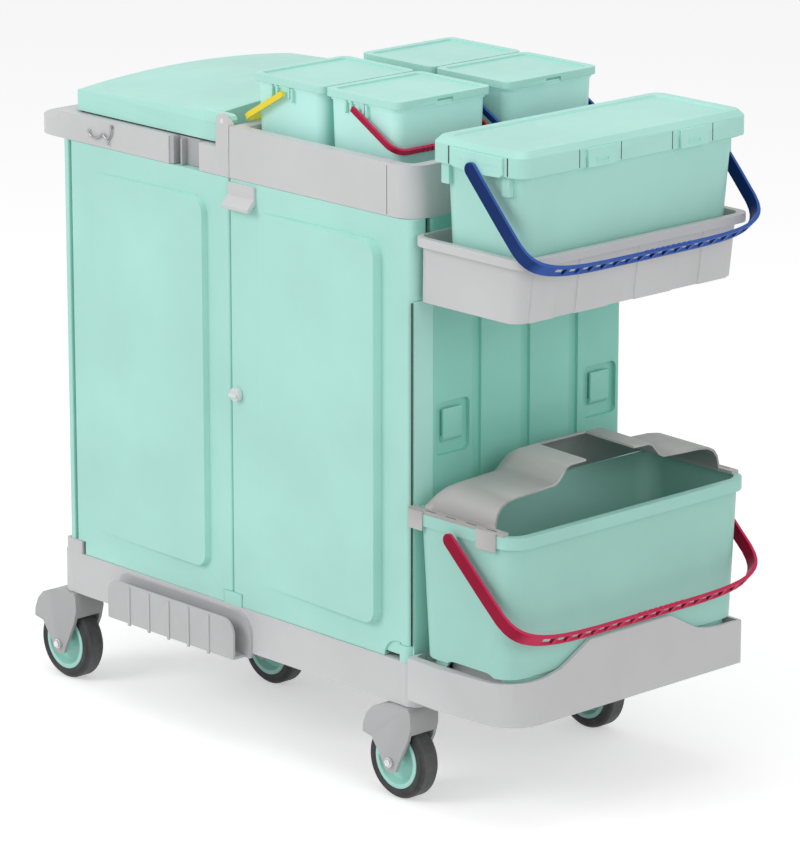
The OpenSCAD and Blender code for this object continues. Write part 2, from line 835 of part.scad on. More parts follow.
module left_door() {
    x0 = left_pin[0] - left_round;
    x1 = split_x - door_gap;
    z0 = deck_z + door_under;
    z1 = door_top - door_under;
    outline = rrect4(x0, x1, front_y, door_back, [2, 6, left_round, 5]);
    inner = rrect4(x0 + 2 * left_round + 2, x1 - skin, front_y + skin, door_back + eps, [1, 1, 3, 3]);
    field = [x0 + 55, x1 - 52, deck_z + 48, door_top - 41];
    color(mint)
    difference() {
        door_pan(outline, inner, field, field_rise, z0, z1);
        rod_z(left_pin, pin_r + fit, z0 - eps, deck_z + left_foot_h + pin_up + 1);
        rod_z(left_pin, pin_r + fit, door_top - pin_up - 1, z1 + eps);
        box([x0 - eps, front_y - 2 * eps, z0 - eps], [left_pin[0] + 16, door_back + eps,
            deck_z + left_foot_h + foot_gap]);
        box([stop_x - foot_gap - 1, front_y - 2 * eps, z0 - eps], [x1 + eps, door_back + eps,
            deck_z + stop_h + foot_gap]);
    }
}

module right_door() {
    x0 = split_x + door_gap;
    x1 = right_pin[0] + right_round;
    z0 = deck_z + door_under;
    z1 = door_top - door_under;
    outline = rrect4(x0, x1, front_y, door_back, [6, 2, 5, right_round]);
    inner = rrect4(x0 + skin, x1 - 2 * right_round - 2, front_y + skin, door_back + eps, [1, 1, 3, 3]);
    field = [x0 + 66, x1 - 66, deck_z + 47, door_top - 41];
    notch_x = cab_end - foot_w - foot_gap;
    notch = concat([[notch_x + eps, z0 - eps], [notch_x + eps, deck_z + notch_h]],
        quarter(notch_x - notch_w + notch_h, deck_z, notch_h, 90), [[notch_x - notch_w, z0 - eps]]);
    color(mint)
    difference() {
        door_pan(outline, inner, field, right_rise, z0, z1);
        rod_z(right_pin, pin_r + fit, z0 - eps, deck_z + foot_h + pin_up + 1);
        rod_z(right_pin, pin_r + fit, door_top - pin_up - 1, z1 + eps);
        box([notch_x, front_y - 2 * eps, z0 - eps], [x1 + eps, door_back + eps,
            deck_z + foot_h + foot_gap]);
        side_slab(notch, front_y - 2 * eps, door_back + eps);
        box([x0 - eps, front_y - 2 * eps, z0 - eps], [stop_x + stop_w + foot_gap + 1, door_back + eps,
            deck_z + stop_h + foot_gap]);
        rod_y(knob_x, knob_z, knob_stem_r + fit, front_y - 2 * eps, front_y + skin + eps);
    }
}

// Pull at the top of the right door
module door_pull() {
    y0 = front_y - pull_t;
    z0 = pull_top - pull_h;
    prof = [[front_y, pull_top], [y0, pull_top], [y0, z0 + pull_lip_h + 4], [y0 - pull_lip, z0 + 6],
        [y0 - pull_lip, z0], [y0 - pull_lip + 4, z0], [front_y, z0 + pull_lip_h - 4]];
    color(grey)
        end_slab(prof, pull_x0, pull_x0 + pull_w);
}

// Lock knob with the tongue behind the door
module lock_knob() {
    tongue_y = front_y + skin + 2;
    color([0.85, 0.86, 0.86])
    union() {
        rod_y(knob_x, knob_z, knob_r, front_y - knob_out, front_y - 0.3);
        box([knob_x - knob_r + 2, front_y - knob_out - 5, knob_z - 2.5],
            [knob_x + knob_r - 2, front_y - knob_out + 1, knob_z + 2.5]);
        rod_y(knob_x, knob_z, knob_stem_r, front_y - 1, tongue_y + 3);
        box([knob_x - 6, tongue_y, knob_z - 6], [knob_x + knob_tail, tongue_y + 3, knob_z + 6]);
    }
}

// One section of the dome lid, from side to side
function dome_ring(x, hw, front, arch, z0) = concat([[x, hw, z0]],
    [for (i = [0:16]) let (t = 1 - i / 8) [x, hw * t, front + arch * (1 - t * t)]], [[x, -hw, z0]]);

function dome_front(x, drop) = dome_z0 + dome_h + dome_slope * (x - dome_x0) / (dome_x1 - dome_x0) - drop;

module dome_lid() {
    w = dome_wall;
    r = dome_round;
    stations = [[dome_x0, r - 4, 6], [dome_x0 + 3, r - 12, 2], [dome_x0 + 9, r - 17, 0], [dome_x0 + r, 0,
        0],
        [dome_x1 - 8, 0, 0], [dome_x1, 3, 2]];
    inner_x = [dome_x0 + w, dome_x0 + r, dome_x1 - w];
    inner_in = [r - 9, w, w + 1];
    lug = [[dome_x1 - 30, dome_z0 + 30], [lid_pin_x, lid_pin_z - 9], [lid_pin_x + 7, lid_pin_z - 6],
        [lid_pin_x + 9, lid_pin_z], [lid_pin_x + 6, lid_pin_z + 6], [lid_pin_x, lid_pin_z + 8],
        [dome_x1 - 30, lid_pin_z + 8]];
    lug_y = cab_hw - ear_t - 1 - lug_t;
    color(mint)
    difference() {
        union() {
            difference() {
                loft([for (s = stations) dome_ring(s[0], dome_hw - s[1], dome_front(s[0], s[2]),
                    dome_arch, dome_z0)]);
                loft([for (i = [0:2]) dome_ring(inner_x[i], dome_hw - inner_in[i], dome_front(inner_x[i],
                    w),
                    dome_arch, dome_z0 - eps)]);
            }
            for (s = [-1, 1])
                side_slab(lug, s * (lug_y + lug_t / 2) - lug_t / 2, s * (lug_y + lug_t / 2) + lug_t / 2);
        }
        rod_y(lid_pin_x, lid_pin_z, lid_pin_r + fit, -cab_hw, cab_hw);
    }
}

// Centre of a small bucket: 1 front-left, 2 front-right, 3 back-left, 4 back-right
function small_c(i) = [small_cx + (i % 2 == 0 ? -1 : 1) * small_pitch_x / 2,
    (i < 2 ? -1 : 1) * small_pitch_y / 2];

module small_bucket(i) {
    c = small_c(i);
    hx = small_len / 2 - 3;
    hy = small_w / 2 - 3;
    bx = hx - small_rim;
    by = hy - small_rim;
    fx = bx - small_taper_x / 2;
    fy = by - small_taper_y / 2;
    w = small_wall;
    peg_end = small_bail_in + small_seat - 2 * fit;
    peg_mid = (by - 1.5 + peg_end) / 2;
    peg_half = (peg_end - by + 1.5) / 2;
    z1 = small_top;
    zr = small_top - 7;
    color(mint)
    translate([c[0], c[1], 0])
    union() {
        loft([ring(-fx + 3, fx - 3, fy - 3, small_r - 3, small_z0), ring(-fx, fx, fy, small_r,
            small_z0 + 3),
            ring(-bx, bx, by, small_r, zr), ring(-hx, hx, hy, small_r, zr), ring(-hx, hx, hy, small_r, z1),
            ring(-bx + w, bx - w, by - w, small_r - w, z1), ring(-fx + w, fx - w, fy - w, small_r - w,
                small_z0 + w)]);
        for (s = [-1, 1])
            rod_y(small_pivot_x, small_pivot_z, small_peg_r, s * peg_mid - peg_half,
                s * peg_mid + peg_half);
    }
}

module small_lid(i) {
    c = small_c(i);
    hx = small_len / 2;
    hy = small_w / 2;
    z0 = small_top;
    s = small_lid_skirt;
    color(mint)
    translate([c[0], c[1], 0])
    union() {
        difference() {
            slab(rrect(-hx, hx, -hy, hy, small_lid_r), z0 - 3, z0 + small_lid_t - 3);
            slab(rrect(-hx + s, hx - s, -hy + s, hy - s, small_lid_r - s), z0 - 3 - eps, z0);
            slab(rrect(-hx + 12, hx - 12, -hy + 12, hy - 12, small_lid_r - 6), z0 + small_lid_t - 6,
                z0 + small_lid_t);
            side_slab([[hx - 9, z0 + 4], [hx + eps, z0 + 4], [hx + eps, z0 - 3 - eps], [hx - 1,
                z0 - 3 - eps]],
                -16, 16);
        }
    }
}

// Wire bail: square rod bent round the bucket
module rod_bail(pivot, half_in, arm, drop, turn, t, w, round_r, hole_r) {
    end = w / 2 + 2;
    far = arm + t / 2 - round_r;
    translate(pivot)
    rotate([0, 0, turn])
    rotate([0, drop, 0])
    difference() {
        translate([0, 0, -w / 2])
        linear_extrude(height = w)
        difference() {
            polygon(concat(quarter(far, half_in + t - round_r, round_r, 0),
                [[-end, half_in + t], [-end, -half_in - t]],
                quarter(far, -half_in - t + round_r, round_r, 270)));
            polygon(concat(quarter(far, half_in - round_r + t, round_r - t, 0),
                [[-end - eps, half_in], [-end - eps, -half_in]],
                quarter(far, -half_in + round_r - t, round_r - t, 270)));
        }
        rod_y(0, 0, hole_r, -half_in - small_seat, half_in + small_seat);
    }
}

// Reach of a bowed bail at one share of its half width
function bow_reach(arm, share) = bail_bow + (arm - bail_bow) * pow(1 - pow(share, bail_power),
    1 / bail_power);

// Half outline of a bowed bail, from the middle of the grip to the start of the arm
function bow(arm, half) = [for (i = [0:bail_steps]) let (a = 90 * i / bail_steps)
    [bail_bow + (arm - bail_bow) * pow(cos(a), 2 / bail_power), half * pow(sin(a), 2 / bail_power)]];

// Closed outline of a bowed bail and the room inside it
function bow_outline(arm, half, end) = let (b = bow(arm, half), n = len(b)) concat(
    [for (i = [n - 1:-1:1]) [b[i][0], -b[i][1]]], b, [[-end, half], [-end, -half]]);

// Strap bail: flat strip bowed round the bucket, with a windowed grip
module strap_bail(pivot, half_in, arm, drop, grip) {
    t = bail_t;
    w = bail_w;
    pitch = 2 * grip * half_in / bail_windows;
    translate(pivot)
    rotate([0, drop, 0])
    difference() {
        union() {
            translate([0, 0, -w / 2])
            linear_extrude(height = w)
            difference() {
                polygon(bow_outline(arm + t / 2, half_in + t, 0));
                polygon(bow_outline(arm - t / 2, half_in, eps));
            }
            rod_y(0, 0, w / 2, half_in, half_in + t);
            rod_y(0, 0, w / 2, -half_in - t, -half_in);
        }
        rod_y(0, 0, peg_r + fit, -half_in - bail_seat, half_in + bail_seat);
        for (k = [0:bail_windows - 1]) {
            y = -grip * half_in + (k + 0.5) * pitch;
            translate([bow_reach(arm, abs(y) / (half_in + t / 2)), y, 0])
                cube([6 * t, bail_open * pitch, w - 2 * bail_edge], center = true);
        }
    }
}

module small_bail(i) {
    c = small_c(i);
    tints = [[0.95, 0.82, 0.10], [0.78, 0.10, 0.25], [0.20, 0.60, 0.30], [0.12, 0.28, 0.62]];
    color(tints[i])
        rod_bail([c[0] + small_pivot_x, c[1], small_pivot_z], small_bail_in, small_arm, small_drop,
            i % 2 == 0 ? 180 : 0,
            small_bail_t, small_bail_w, small_grip_r, small_peg_r + fit);
}

module upper_bucket() {
    x0 = upper_x0 + 4;
    x1 = upper_x1 - 4;
    hw = upper_hw - 6;
    w = big_wall;
    peg_end = upper_bail_in + bail_seat - 2 * fit;
    peg_mid = (hw - 9 + peg_end) / 2;
    peg_half = (peg_end - hw + 9) / 2;
    zr = upper_top - 20;
    color(mint)
    union() {
        loft([ring(x0 + 16, x1 - 24, hw - 20, upper_r - 6, upper_z0),
            ring(x0 + 13, x1 - 20, hw - 17, upper_r - 2, upper_z0 + 5),
            ring(x0 + 8, x1 - 6, hw - 7, upper_r, zr), ring(x0, x1, hw, upper_lid_r, zr),
            ring(x0, x1, hw, upper_lid_r, upper_top),
            ring(x0 + 8 + w, x1 - 6 - w, hw - 7 - w, upper_r - w, upper_top),
            ring(x0 + 13 + w, x1 - 20 - w, hw - 17 - w, upper_r - w, upper_z0 + w)]);
        for (s = [-1, 1]) {
            rod_y(upper_pivot[0], upper_pivot[1], peg_r, s * peg_mid - peg_half, s * peg_mid + peg_half);
            for (x = [upper_x0 + 20, upper_x1 - 48])
                box([x, s * (hw - 5) - 4, zr - 30], [x + 16, s * (hw - 5) + 4, zr + 1]);
        }
    }
}

module upper_lid() {
    z0 = upper_top;
    z1 = z0 + upper_lid_t;
    x0 = upper_x0;
    x1 = upper_x1;
    tab_z = z0 - upper_tab_h + 12;
    tab = [[x1 - 3, z0 + 10], [x1 + 4, z0 + 10], [x1 + 6, tab_z], [x1 + 1, tab_z], [x1 + 0.5, z0 - 1],
        [x1 - 3, z0]];
    color(mint)
    union() {
        difference() {
            loft([ring(x0, x1, upper_hw, upper_lid_r, z0 - upper_skirt), ring(x0, x1, upper_hw,
                upper_lid_r, z0 + 12),
                ring(x0 + 8, x1 - 8, upper_hw - 8, upper_lid_r - 3, z1),
                ring(x0 + 22, x1 - 22, upper_hw - 22, upper_lid_r - 9, z1),
                ring(x0 + 24, x1 - 24, upper_hw - 24, upper_lid_r - 10, z1 - 3)]);
            slab(rrect(x0 + 3.5, x1 - 3.5, -upper_hw + 5.5, upper_hw - 5.5, upper_lid_r - 4),
                z0 - upper_skirt - eps, z0);
            box([upper_pivot[0] - peg_room, -upper_hw - eps, z0 - upper_skirt - eps],
                [upper_pivot[0] + peg_room, upper_hw + eps, upper_pivot[1] + peg_room]);
        }
        for (y = upper_tab_y)
            side_slab(tab, y - upper_tab_w / 2, y + upper_tab_w / 2);
    }
}

module upper_bail() {
    color([0.12, 0.28, 0.62])
        strap_bail([upper_pivot[0], 0, upper_pivot[1]], upper_bail_in, upper_arm, upper_drop, upper_grip);
}

module lower_bucket() {
    x0 = lower_x0;
    x1 = lower_x1;
    hw = lower_hw;
    w = big_wall;
    peg_end = lower_bail_in + bail_seat - 2 * fit;
    peg_mid = (hw - 6 + peg_end) / 2;
    peg_half = (peg_end - hw + 6) / 2;
    z0 = lower_z0;
    zr = lower_top - lower_rim_h;
    arch = rrect4(arch_x - arch_w / 2, arch_x + arch_w / 2, z0 - 10, z0 + arch_h, [arch_r, arch_r, 1, 1]);
    color(mint)
    union() {
        difference() {
            loft([ring(x0 + 28, x1 - 20, hw - 14, lower_r + 6, z0), ring(x0 + 28, x1 - 20, hw - 14,
                lower_r + 6, z0 + 20),
                ring(x0 + 25, x1 - 17, hw - 7, lower_r - 2, z0 + 24), ring(x0 + 13, x1 - 9, hw - 3,
                    lower_r - 2, zr),
                ring(x0, x1, hw, lower_r, zr), ring(x0, x1, hw, lower_r, lower_top),
                ring(x0 + 13 + w, x1 - 9 - w, hw - 3 - w, lower_r - 4, lower_top),
                ring(x0 + 29 + w, x1 - 21 - w, hw - 15 - w, lower_r + 2, z0 + lower_foot_h + w)]);
            slab(rrect(x0 + 29 + w, x1 - 21 - w, -hw + 15 + w, hw - 15 - w, lower_r), z0 - eps,
                z0 + lower_foot_h);
            side_slab(arch, -hw, hw);
        }
        for (s = [-1, 1])
            rod_y(lower_pivot[0], lower_pivot[1], peg_r, s * peg_mid - peg_half, s * peg_mid + peg_half);
    }
}

module lower_bail() {
    color([0.78, 0.10, 0.25])
        strap_bail([lower_pivot[0], 0, lower_pivot[1]], lower_bail_in, lower_arm, lower_drop, lower_grip);
}

// Section of the splash hood: outer side then back along the inner side
function hood_half(h) = [[hood_gap - 8, h], [88, 0.985 * h], [96, 0.94 * h], [104, 0.82 * h], [112,
    0.71 * h],
    [122, 0.65 * h], [160, hood_step * h], [hood_hw - 56, 0.6 * h], [hood_hw - 38, 0.565 * h],
    [hood_hw - 25, 0.48 * h], [hood_hw - 17, 0.34 * h], [hood_hw - 13, 0.16 * h], [hood_hw - 12, 0]];

function hood_inner(h) = [for (p = hood_half(h)) [p[0] - hood_wall, max(p[1] - hood_wall, p[1] / 2)]];

function hood_ring(x, h) = let (p = hood_half(h), q = hood_inner(h), n = len(p)) concat(
    [for (i = [n - 1:-1:0]) [x, p[i][0], hood_z0 + p[i][1]]],
    [for (i = [0:n - 1]) [x, -p[i][0], hood_z0 + p[i][1]]],
    [for (i = [n - 1:-1:0]) [x, -q[i][0], hood_z0 + q[i][1]]],
    [for (i = [0:n - 1]) [x, q[i][0], hood_z0 + q[i][1]]]);

module splash_hood() {
    color([0.6, 0.6, 0.6])
    union() {
        difference() {
            loft(concat([for (b = hood_back) hood_ring(hood_x0 + b[0], b[1] * hood_h)],
                [hood_ring(hood_xr, hood_h), hood_ring(hood_x1, 0.96 * hood_h)]));
            box([hood_xr + hood_wall, -hood_gap, hood_z0 - eps], [hood_x1 + eps, hood_gap,
                hood_z0 + 2 * hood_h]);
        }
        for (s = [-1, 1]) {
            box([hood_x0, s * (hood_hw + 1 - hood_ledge / 2) - hood_ledge / 2, hood_z0],
                [lower_x1 - 28, s * (hood_hw + 1 - hood_ledge / 2) + hood_ledge / 2, hood_z0 + 5]);
            for (c = hood_clips)
                end_slab([[s * (hood_hw - 4), hood_z0], [s * (hood_hw - 4), hood_z0 + 5],
                    [s * (lower_hw + clip_out), hood_z0 + 4],
                    [s * (lower_hw + clip_out), hood_z0 - clip_tab_h], [s * (lower_hw + 0.4),
                        hood_z0 - clip_tab_h],
                    [s * (lower_hw + 0.4), hood_z0]], c[0], c[0] + c[1]);
        }
    }
}

base_deck();
bucket_platform();
caster_stems();
mop_pocket();
door_feet();
left_hinge_foot();
hinge_pins();
left_end_panel();
back_panel();
divider_panel();
end_panel();
top_rail();
bag_frame();
rail_clip();
wire_hook();
top_tray();
bucket_holder();
left_door();
right_door();
door_pull();
lock_knob();
dome_lid();
small_bucket(0);  // small_bucket_1
small_bucket(1);  // small_bucket_2
small_bucket(2);  // small_bucket_3
small_bucket(3);  // small_bucket_4
small_lid(0);  // small_lid_1
small_lid(1);  // small_lid_2
small_lid(2);  // small_lid_3
small_lid(3);  // small_lid_4
small_bail(0);  // small_bail_1
small_bail(1);  // small_bail_2
small_bail(2);  // small_bail_3
small_bail(3);  // small_bail_4
upper_bucket();
upper_lid();
upper_bail();
lower_bucket();
splash_hood();
lower_bail();
caster_fork(0);  // caster_fork_1
caster_fork(1);  // caster_fork_2
caster_fork(2);  // caster_fork_3
caster_fork(3);  // caster_fork_4
caster_fork(4);  // caster_fork_5
caster_axle(0);  // caster_axle_1
caster_axle(1);  // caster_axle_2
caster_axle(2);  // caster_axle_3
caster_axle(3);  // caster_axle_4
caster_axle(4);  // caster_axle_5
wheel_hub(0);  // wheel_hub_1
wheel_hub(1);  // wheel_hub_2
wheel_hub(2);  // wheel_hub_3
wheel_hub(3);  // wheel_hub_4
wheel_hub(4);  // wheel_hub_5
tyre(0);  // tyre_1
tyre(1);  // tyre_2
tyre(2);  // tyre_3
tyre(3);  // tyre_4
tyre(4);  // tyre_5
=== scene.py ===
import json
import math

import bmesh
import bpy
from mathutils import Matrix, Vector


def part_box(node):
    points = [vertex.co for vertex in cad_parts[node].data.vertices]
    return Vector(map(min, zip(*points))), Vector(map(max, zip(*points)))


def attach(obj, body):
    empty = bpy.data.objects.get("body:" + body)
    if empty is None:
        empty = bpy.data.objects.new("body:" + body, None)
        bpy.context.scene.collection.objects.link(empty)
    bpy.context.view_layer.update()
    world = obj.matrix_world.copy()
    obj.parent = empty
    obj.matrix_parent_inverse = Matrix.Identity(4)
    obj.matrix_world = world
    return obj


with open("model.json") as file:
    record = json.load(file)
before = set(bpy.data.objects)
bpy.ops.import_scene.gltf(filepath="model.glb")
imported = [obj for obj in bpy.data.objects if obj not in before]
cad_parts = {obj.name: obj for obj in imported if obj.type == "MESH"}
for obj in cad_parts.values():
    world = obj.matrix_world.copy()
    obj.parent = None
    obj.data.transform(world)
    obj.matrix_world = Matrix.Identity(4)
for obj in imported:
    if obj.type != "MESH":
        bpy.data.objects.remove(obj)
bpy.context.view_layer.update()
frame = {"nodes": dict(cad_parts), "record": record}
nodes = frame["nodes"]
slots = {part["node"]: part["material_slot"] for part in frame["record"]["subparts"]}
joints = {joint["name"]: joint for joint in frame["record"]["behaviour"]["joints"]}

# Boxes of the nodes at rest, before they are dressed
boxes = {name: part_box(name) for name in slots}

# Trim is drawn in millimetres and scaled to the frame's metres
MM = 0.001

# Camera, solved from the straight edges of the cart in the photograph
CAMERA_TURN, CAMERA_RISE = math.radians(47.0), math.radians(15.367)
CAMERA_AWAY = 7.5854
CAMERA_AIM = Vector((0.044, -0.010, 0.51685))
SENSOR_WIDTH = 36.0
FOCAL_PIXELS, PHOTO_PIXELS = 4739.5, 800.0

# Strength of the world as a light and as the backdrop
WHITE = (1.0, 1.0, 1.0, 1.0)
WORLD_LIGHT, WORLD_SEEN = 0.55, 1.0

# Floor: half its width, its paint, and the glow that brings it near the backdrop
FLOOR_REACH = 14.0
FLOOR_PAINT = (0.8, 0.8, 0.8, 1.0)
FLOOR_GLOW = 0.45

# Stretches of a value over which a pattern comes in: noise, edges, flecks, dust, faces across the cart
NOISE_SPAN, RIM_SPAN, FLECK_SPAN = (0.3, 0.7), (0.52, 0.6), (0.68, 0.8)
DUST_SPAN, SIDE_SPAN = (0.42, 0.75), (0.45, 0.75)

# Mesh finish: gap closed by the weld, angles in degrees, and steps round an edge
WELD_GAP = 0.00002
FLAT_ANGLE, BEVEL_ANGLE, SMOOTH_ANGLE = 0.5, 38.0, 40.0
NODE_STEPS, TRIM_STEPS = 3, 2
NORMAL_WEIGHT = 80


def make_camera():
    level = math.cos(CAMERA_RISE)
    back = Vector((math.sin(CAMERA_TURN) * level, -math.cos(CAMERA_TURN) * level, math.sin(CAMERA_RISE)))
    right = Vector((math.cos(CAMERA_TURN), math.sin(CAMERA_TURN), 0.0))
    up = back.cross(right)
    data = bpy.data.cameras.new("camera")
    data.sensor_fit = "HORIZONTAL"
    data.sensor_width = SENSOR_WIDTH
    data.lens = SENSOR_WIDTH * FOCAL_PIXELS / PHOTO_PIXELS
    cam = bpy.data.objects.new("camera", data)
    bpy.context.scene.collection.objects.link(cam)
    place = Matrix((right, up, back)).transposed().to_4x4()
    place.translation = CAMERA_AIM + CAMERA_AWAY * back
    cam.matrix_world = place
    bpy.context.scene.camera = cam


# Round area lamp aimed at a point
def make_lamp(name, place, aim, size, power):
    data = bpy.data.lights.new(name, "AREA")
    data.shape = "DISK"
    data.size = size
    data.energy = power
    lamp = bpy.data.objects.new(name, data)
    bpy.context.scene.collection.objects.link(lamp)
    lamp.location = place
    lamp.rotation_euler = (Vector(aim) - Vector(place)).to_track_quat("-Z", "Y").to_euler()


# Factor that is 1 for rays that show the background
def shown_rays(tree):
    path = tree.nodes.new("ShaderNodeLightPath")
    shown = path.outputs["Is Camera Ray"]
    for kind in ("Is Glossy Ray", "Is Transmission Ray"):
        either = tree.nodes.new("ShaderNodeMath")
        either.operation = "MAXIMUM"
        tree.links.new(shown, either.inputs[0])
        tree.links.new(path.outputs[kind], either.inputs[1])
        shown = either.outputs[0]
    return shown


# White world that lights the cart softly and shows as a brighter backdrop
def make_world():
    world = bpy.data.worlds.new("world")
    bpy.context.scene.world = world
    world.use_nodes = True
    tree = world.node_tree
    tree.nodes.clear()
    out = tree.nodes.new("ShaderNodeOutputWorld")
    mix = tree.nodes.new("ShaderNodeMixShader")
    tree.links.new(shown_rays(tree), mix.inputs["Fac"])
    for k, strength in enumerate((WORLD_LIGHT, WORLD_SEEN)):
        sky = tree.nodes.new("ShaderNodeBackground")
        sky.inputs["Color"].default_value = WHITE
        sky.inputs["Strength"].default_value = strength
        tree.links.new(sky.outputs[0], mix.inputs[1 + k])
    tree.links.new(mix.outputs[0], out.inputs["Surface"])


# Pale floor that takes the cart's shadow
def make_floor():
    r = FLOOR_REACH
    mesh = bpy.data.meshes.new("floor")
    mesh.from_pydata([(-r, -r, 0), (r, -r, 0), (r, r, 0), (-r, r, 0)], [], [(0, 1, 2, 3)])
    floor = bpy.data.objects.new("floor", mesh)
    bpy.context.scene.collection.objects.link(floor)
    mat = bpy.data.materials.new("floor")
    mat.use_nodes = True
    tree = mat.node_tree
    tree.nodes.clear()
    out = tree.nodes.new("ShaderNodeOutputMaterial")
    paint = tree.nodes.new("ShaderNodeBsdfDiffuse")
    paint.inputs["Color"].default_value = FLOOR_PAINT
    pick = tree.nodes.new("ShaderNodeMixShader")
    tree.links.new(shown_rays(tree), pick.inputs["Fac"])
    for k, strength in enumerate((0.0, FLOOR_GLOW)):
        glow = tree.nodes.new("ShaderNodeEmission")
        glow.inputs["Strength"].default_value = strength
        tree.links.new(glow.outputs[0], pick.inputs[1 + k])
    add = tree.nodes.new("ShaderNodeAddShader")
    tree.links.new(paint.outputs[0], add.inputs[0])
    tree.links.new(pick.outputs[0], add.inputs[1])
    tree.links.new(add.outputs[0], out.inputs["Surface"])
    mesh.materials.append(mat)


# Node helpers for the materials
class Graph:
    def __init__(self, name):
        self.mat = bpy.data.materials.new(name)
        self.mat.use_nodes = True
        self.tree = self.mat.node_tree
        self.tree.nodes.clear()
        self.bsdf = self.tree.nodes.new("ShaderNodeBsdfPrincipled")
        out = self.tree.nodes.new("ShaderNodeOutputMaterial")
        self.link(self.bsdf.outputs[0], out.inputs["Surface"])
        self.place = self.tree.nodes.new("ShaderNodeTexCoord").outputs["Object"]

    def link(self, a, b):
        self.tree.links.new(a, b)

    # Noise fixed to the object, with its scale per metre
    def noise(self, scale, detail, rough=0.5):
        n = self.tree.nodes.new("ShaderNodeTexNoise")
        n.inputs["Scale"].default_value = scale
        n.inputs["Detail"].default_value = detail
        n.inputs["Roughness"].default_value = rough
        self.link(self.place, n.inputs["Vector"])
        return n.outputs["Fac"]

    # Value that goes from low to high while its source crosses the span
    def spread(self, value, span, low, high):
        n = self.tree.nodes.new("ShaderNodeMapRange")
        n.inputs["From Min"].default_value, n.inputs["From Max"].default_value = span
        n.inputs["To Min"].default_value = low
        n.inputs["To Max"].default_value = high
        self.link(value, n.inputs["Value"])
        return n.outputs["Result"]

    # Mix of two colours, each a fixed one or a socket
    def blend(self, factor, a, b):
        n = self.tree.nodes.new("ShaderNodeMix")
        n.data_type = "RGBA"
        self.link(factor, n.inputs["Factor"])
        for value, socket in ((a, n.inputs["A"]), (b, n.inputs["B"])):
            if isinstance(value, tuple):
                socket.default_value = value
            else:
                self.link(value, socket)
        return n.outputs["Result"]

    # 1 where the surface faces across the cart, 0 where it faces along it or up
    def facing_y(self):
        parts = self.tree.nodes.new("ShaderNodeSeparateXYZ")
        self.link(self.tree.nodes.new("ShaderNodeTexCoord").outputs["Normal"], parts.inputs[0])
        flat = self.tree.nodes.new("ShaderNodeMath")
        flat.operation = "ABSOLUTE"
        self.link(parts.outputs["Y"], flat.inputs[0])
        return self.spread(flat.outputs[0], SIDE_SPAN, 0.0, 1.0)

    def bump(self, height, strength, distance, normal=None):
        n = self.tree.nodes.new("ShaderNodeBump")
        n.inputs["Strength"].default_value = strength
        n.inputs["Distance"].default_value = distance
        self.link(height, n.inputs["Height"])
        if normal:
            self.link(normal, n.inputs["Normal"])
        return n.outputs["Normal"]

    # Finished material from its colour, its roughness and its normal
    def surface(self, colour, rough, normal):
        self.link(colour, self.bsdf.inputs["Base Color"])
        self.link(rough, self.bsdf.inputs["Roughness"])
        self.link(normal, self.bsdf.inputs["Normal"])
        return self.mat


# Colour with its light scaled by a factor
def rgba(c, k=1.0):
    return (min(1.0, c[0] * k), min(1.0, c[1] * k), min(1.0, c[2] * k), 1.0)


# Moulded plastic: cloudy tone, fine grain, uneven gloss, edges lighter from scuffs and painted highlight,
# dark flecks, and maybe a darker colour of painted shade on faces across the cart
def plastic(name, base, rough, tone=0.05, grain=800.0, depth=0.06, edge=1.25, scuff_and_highlight=0.35, side=None,
            shine=0.5, fleck=0.25):
    fleck_tone, drift = 0.86, 0.06
    g = Graph(name)
    g.bsdf.inputs["Specular IOR Level"].default_value = shine
    cloud = g.spread(g.noise(scale=5.0, detail=4.0), NOISE_SPAN, 0.0, 1.0)
    colour = g.blend(cloud, rgba(base, 1.0 - tone), rgba(base, 1.0 + tone))
    # Faces across the cart take the darker side colour: painted shade, not a second dye
    if side:
        colour = g.blend(g.facing_y(), colour, rgba(side))
    # Convex edges turn lighter: partly scuffs, partly painted highlight
    points = g.tree.nodes.new("ShaderNodeNewGeometry").outputs["Pointiness"]
    colour = g.blend(g.spread(points, RIM_SPAN, 0.0, scuff_and_highlight), colour, rgba(base, edge))
    speck = g.spread(g.noise(scale=260.0, detail=3.0, rough=0.7), FLECK_SPAN, 0.0, fleck)
    colour = g.blend(speck, colour, rgba(base, fleck_tone))
    gloss = g.spread(g.noise(scale=38.0, detail=3.0), NOISE_SPAN, rough - drift, rough + drift)
    swell = g.bump(g.noise(scale=24.0, detail=1.0), strength=0.05, distance=0.002)
    fine = g.bump(g.noise(scale=grain, detail=2.0), strength=depth, distance=0.0006, normal=swell)
    return g.surface(colour, gloss, fine)


# Tyre: near-black side walls and a dusty grey tread, told apart by the way the surface faces
def rubber(name, side, tread):
    side_dust, tread_dust, most_dust = 1.8, 1.7, 0.6
    smooth, dull = 0.5, 0.72
    g = Graph(name)
    dust = g.spread(g.noise(scale=60.0, detail=5.0, rough=0.65), DUST_SPAN, 0.0, most_dust)
    tread_colour = g.blend(dust, rgba(tread), rgba(tread, tread_dust))
    side_colour = g.blend(dust, rgba(side), rgba(side, side_dust))
    colour = g.blend(g.facing_y(), tread_colour, side_colour)
    gloss = g.spread(g.noise(scale=45.0, detail=3.0), NOISE_SPAN, smooth, dull)
    fine = g.bump(g.noise(scale=900.0, detail=3.0), strength=0.15, distance=0.0006)
    return g.surface(colour, gloss, fine)


# Bright or dull steel with fine scratches
def metal(name, base, rough):
    dark, light = 0.85, 1.05
    smoother, duller = 0.08, 0.1
    g = Graph(name)
    g.bsdf.inputs["Metallic"].default_value = 1.0
    cloud = g.spread(g.noise(scale=80.0, detail=4.0), NOISE_SPAN, 0.0, 1.0)
    colour = g.blend(cloud, rgba(base, dark), rgba(base, light))
    gloss = g.spread(g.noise(scale=300.0, detail=3.0), NOISE_SPAN, rough - smoother, rough + duller)
    fine = g.bump(g.noise(scale=1500.0, detail=2.0), strength=0.08, distance=0.0003)
    return g.surface(colour, gloss, fine)


